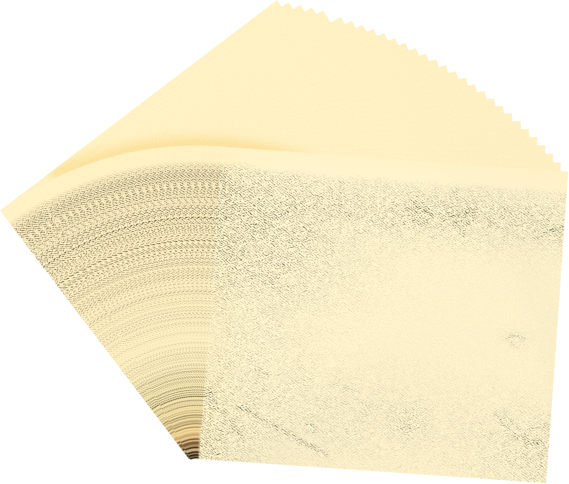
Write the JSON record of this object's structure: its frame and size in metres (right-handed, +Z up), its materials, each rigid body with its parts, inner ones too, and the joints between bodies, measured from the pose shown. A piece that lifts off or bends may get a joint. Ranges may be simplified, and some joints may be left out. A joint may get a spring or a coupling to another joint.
{
  "type": "fanned stack of gold leaf",
  "caption": "Stack of thin square-cornered metal leaves on backing tissues, fanned out about one corner; it squares up or fans wider as the sheets turn.",
  "frame": {"origin": "middle of the fan's bounding rectangle, on the surface that the lowest tissue lies on", "axes": "+Z up, out of the metal faces; +X along the bounding rectangle's long side, to the right when the corner that the sheets turn about is at the lower left; +Y across it, away from that corner"},
  "size_m": [0.1454, 0.1236, 0.0024],
  "materials": {
    "gold_leaf": "satin",
    "backing_tissue": "matte"
  },
  "bodies": {
    "sheet_01": {"tissue_01": "backing_tissue", "leaf_01": "gold_leaf"},
    "sheet_02": {"tissue_02": "backing_tissue", "leaf_02": "gold_leaf"},
    "sheet_03": {"tissue_03": "backing_tissue", "leaf_03": "gold_leaf"},
    "sheet_04": {"tissue_04": "backing_tissue", "leaf_04": "gold_leaf"},
    "sheet_05": {"tissue_05": "backing_tissue", "leaf_05": "gold_leaf"},
    "sheet_06": {"tissue_06": "backing_tissue", "leaf_06": "gold_leaf"},
    "sheet_07": {"tissue_07": "backing_tissue", "leaf_07": "gold_leaf"},
    "sheet_08": {"tissue_08": "backing_tissue", "leaf_08": "gold_leaf"},
    "sheet_09": {"tissue_09": "backing_tissue", "leaf_09": "gold_leaf"},
    "sheet_10": {"tissue_10": "backing_tissue", "leaf_10": "gold_leaf"},
    "sheet_11": {"tissue_11": "backing_tissue", "leaf_11": "gold_leaf"},
    "sheet_12": {"tissue_12": "backing_tissue", "leaf_12": "gold_leaf"},
    "sheet_13": {"tissue_13": "backing_tissue", "leaf_13": "gold_leaf"},
    "sheet_14": {"tissue_14": "backing_tissue", "leaf_14": "gold_leaf"},
    "sheet_15": {"tissue_15": "backing_tissue", "leaf_15": "gold_leaf"},
    "sheet_16": {"tissue_16": "backing_tissue", "leaf_16": "gold_leaf"},
    "sheet_17": {"tissue_17": "backing_tissue", "leaf_17": "gold_leaf"},
    "sheet_18": {"tissue_18": "backing_tissue", "leaf_18": "gold_leaf"},
    "sheet_19": {"tissue_19": "backing_tissue", "leaf_19": "gold_leaf"},
    "sheet_20": {"tissue_20": "backing_tissue", "leaf_20": "gold_leaf"},
    "sheet_21": {"tissue_21": "backing_tissue", "leaf_21": "gold_leaf"},
    "sheet_22": {"tissue_22": "backing_tissue", "leaf_22": "gold_leaf"},
    "sheet_23": {"tissue_23": "backing_tissue", "leaf_23": "gold_leaf"},
    "sheet_24": {"tissue_24": "backing_tissue", "leaf_24": "gold_leaf"},
    "sheet_25": {"tissue_25": "backing_tissue", "leaf_25": "gold_leaf"},
    "sheet_26": {"tissue_26": "backing_tissue", "leaf_26": "gold_leaf"},
    "sheet_27": {"tissue_27": "backing_tissue", "leaf_27": "gold_leaf"},
    "sheet_28": {"tissue_28": "backing_tissue", "leaf_28": "gold_leaf"},
    "sheet_29": {"tissue_29": "backing_tissue", "leaf_29": "gold_leaf"},
    "sheet_30": {"tissue_30": "backing_tissue", "leaf_30": "gold_leaf"}
  },
  "joints": [
    {"name": "fan_spread", "type": "hinge", "parent": "sheet_30", "child": "sheet_01", "pos_m": [-0.02229, -0.05938, 0], "axis": [0, 0, 1], "range_deg": [-40, 41.29]},
    {"name": "turn_02", "type": "hinge", "parent": "sheet_30", "child": "sheet_02", "pos_m": [-0.02229, -0.05938, 0], "axis": [0, 0, 1], "range_deg": [-38.66, 39.91]},
    {"name": "turn_03", "type": "hinge", "parent": "sheet_30", "child": "sheet_03", "pos_m": [-0.02229, -0.05938, 0], "axis": [0, 0, 1], "range_deg": [-37.31, 38.52]},
    {"name": "turn_04", "type": "hinge", "parent": "sheet_30", "child": "sheet_04", "pos_m": [-0.02229, -0.05938, 0], "axis": [0, 0, 1], "range_deg": [-35.97, 37.12]},
    {"name": "turn_05", "type": "hinge", "parent": "sheet_30", "child": "sheet_05", "pos_m": [-0.02229, -0.05938, 0], "axis": [0, 0, 1], "range_deg": [-34.62, 35.73]},
    {"name": "turn_06", "type": "hinge", "parent": "sheet_30", "child": "sheet_06", "pos_m": [-0.02229, -0.05938, 0], "axis": [0, 0, 1], "range_deg": [-33.27, 34.34]},
    {"name": "turn_07", "type": "hinge", "parent": "sheet_30", "child": "sheet_07", "pos_m": [-0.02229, -0.05938, 0], "axis": [0, 0, 1], "range_deg": [-31.93, 32.95]},
    {"name": "turn_08", "type": "hinge", "parent": "sheet_30", "child": "sheet_08", "pos_m": [-0.02229, -0.05938, 0], "axis": [0, 0, 1], "range_deg": [-30.58, 31.57]},
    {"name": "turn_09", "type": "hinge", "parent": "sheet_30", "child": "sheet_09", "pos_m": [-0.02229, -0.05938, 0], "axis": [0, 0, 1], "range_deg": [-29.23, 30.18]},
    {"name": "turn_10", "type": "hinge", "parent": "sheet_30", "child": "sheet_10", "pos_m": [-0.02229, -0.05938, 0], "axis": [0, 0, 1], "range_deg": [-27.89, 28.79]},
    {"name": "turn_11", "type": "hinge", "parent": "sheet_30", "child": "sheet_11", "pos_m": [-0.02229, -0.05938, 0], "axis": [0, 0, 1], "range_deg": [-26.54, 27.39]},
    {"name": "turn_12", "type": "hinge", "parent": "sheet_30", "child": "sheet_12", "pos_m": [-0.02229, -0.05938, 0], "axis": [0, 0, 1], "range_deg": [-25.19, 26]},
    {"name": "turn_13", "type": "hinge", "parent": "sheet_30", "child": "sheet_13", "pos_m": [-0.02229, -0.05938, 0], "axis": [0, 0, 1], "range_deg": [-23.85, 24.61]},
    {"name": "turn_14", "type": "hinge", "parent": "sheet_30", "child": "sheet_14", "pos_m": [-0.02229, -0.05938, 0], "axis": [0, 0, 1], "range_deg": [-22.5, 23.23]},
    {"name": "turn_15", "type": "hinge", "parent": "sheet_30", "child": "sheet_15", "pos_m": [-0.02229, -0.05938, 0], "axis": [0, 0, 1], "range_deg": [-21.15, 21.84]},
    {"name": "turn_16", "type": "hinge", "parent": "sheet_30", "child": "sheet_16", "pos_m": [-0.02229, -0.05938, 0], "axis": [0, 0, 1], "range_deg": [-19.81, 20.45]},
    {"name": "turn_17", "type": "hinge", "parent": "sheet_30", "child": "sheet_17", "pos_m": [-0.02229, -0.05938, 0], "axis": [0, 0, 1], "range_deg": [-18.46, 19.05]},
    {"name": "turn_18", "type": "hinge", "parent": "sheet_30", "child": "sheet_18", "pos_m": [-0.02229, -0.05938, 0], "axis": [0, 0, 1], "range_deg": [-17.11, 17.66]},
    {"name": "turn_19", "type": "hinge", "parent": "sheet_30", "child": "sheet_19", "pos_m": [-0.02229, -0.05938, 0], "axis": [0, 0, 1], "range_deg": [-15.77, 16.27]},
    {"name": "turn_20", "type": "hinge", "parent": "sheet_30", "child": "sheet_20", "pos_m": [-0.02229, -0.05938, 0], "axis": [0, 0, 1], "range_deg": [-14.42, 14.88]},
    {"name": "turn_21", "type": "hinge", "parent": "sheet_30", "child": "sheet_21", "pos_m": [-0.02229, -0.05938, 0], "axis": [0, 0, 1], "range_deg": [-13.07, 13.49]},
    {"name": "turn_22", "type": "hinge", "parent": "sheet_30", "child": "sheet_22", "pos_m": [-0.02229, -0.05938, 0], "axis": [0, 0, 1], "range_deg": [-11.73, 12.11]},
    {"name": "turn_23", "type": "hinge", "parent": "sheet_30", "child": "sheet_23", "pos_m": [-0.02229, -0.05938, 0], "axis": [0, 0, 1], "range_deg": [-10.38, 10.71]},
    {"name": "turn_24", "type": "hinge", "parent": "sheet_30", "child": "sheet_24", "pos_m": [-0.02229, -0.05938, 0], "axis": [0, 0, 1], "range_deg": [-9.03, 9.32]},
    {"name": "turn_25", "type": "hinge", "parent": "sheet_30", "child": "sheet_25", "pos_m": [-0.02229, -0.05938, 0], "axis": [0, 0, 1], "range_deg": [-7.69, 7.93]},
    {"name": "turn_26", "type": "hinge", "parent": "sheet_30", "child": "sheet_26", "pos_m": [-0.02229, -0.05938, 0], "axis": [0, 0, 1], "range_deg": [-5.51, 5.68]},
    {"name": "turn_27", "type": "hinge", "parent": "sheet_30", "child": "sheet_27", "pos_m": [-0.02229, -0.05938, 0], "axis": [0, 0, 1], "range_deg": [-4.13, 4.26]},
    {"name": "turn_28", "type": "hinge", "parent": "sheet_30", "child": "sheet_28", "pos_m": [-0.02229, -0.05938, 0], "axis": [0, 0, 1], "range_deg": [-2.76, 2.85]},
    {"name": "turn_29", "type": "hinge", "parent": "sheet_30", "child": "sheet_29", "pos_m": [-0.02229, -0.05938, 0], "axis": [0, 0, 1], "range_deg": [-1.38, 1.43]}
  ],
  "couplings": [
    {"joint": "turn_02", "follows": "fan_spread", "ratio": 0.96634},
    {"joint": "turn_03", "follows": "fan_spread", "ratio": 0.93267},
    {"joint": "turn_04", "follows": "fan_spread", "ratio": 0.89901},
    {"joint": "turn_05", "follows": "fan_spread", "ratio": 0.86534},
    {"joint": "turn_06", "follows": "fan_spread", "ratio": 0.83168},
    {"joint": "turn_07", "follows": "fan_spread", "ratio": 0.79801},
    {"joint": "turn_08", "follows": "fan_spread", "ratio": 0.76435},
    {"joint": "turn_09", "follows": "fan_spread", "ratio": 0.73069},
    {"joint": "turn_10", "follows": "fan_spread", "ratio": 0.69702},
    {"joint": "turn_11", "follows": "fan_spread", "ratio": 0.66336},
    {"joint": "turn_12", "follows": "fan_spread", "ratio": 0.62969},
    {"joint": "turn_13", "follows": "fan_spread", "ratio": 0.59603},
    {"joint": "turn_14", "follows": "fan_spread", "ratio": 0.56236},
    {"joint": "turn_15", "follows": "fan_spread", "ratio": 0.5287},
    {"joint": "turn_16", "follows": "fan_spread", "ratio": 0.49504},
    {"joint": "turn_17", "follows": "fan_spread", "ratio": 0.46137},
    {"joint": "turn_18", "follows": "fan_spread", "ratio": 0.42771},
    {"joint": "turn_19", "follows": "fan_spread", "ratio": 0.39404},
    {"joint": "turn_20", "follows": "fan_spread", "ratio": 0.36038},
    {"joint": "turn_21", "follows": "fan_spread", "ratio": 0.32671},
    {"joint": "turn_22", "follows": "fan_spread", "ratio": 0.29305},
    {"joint": "turn_23", "follows": "fan_spread", "ratio": 0.25938},
    {"joint": "turn_24", "follows": "fan_spread", "ratio": 0.22572},
    {"joint": "turn_25", "follows": "fan_spread", "ratio": 0.19206},
    {"joint": "turn_26", "follows": "fan_spread", "ratio": 0.13756},
    {"joint": "turn_27", "follows": "fan_spread", "ratio": 0.10317},
    {"joint": "turn_28", "follows": "fan_spread", "ratio": 0.068782},
    {"joint": "turn_29", "follows": "fan_spread", "ratio": 0.034391}
  ]
}
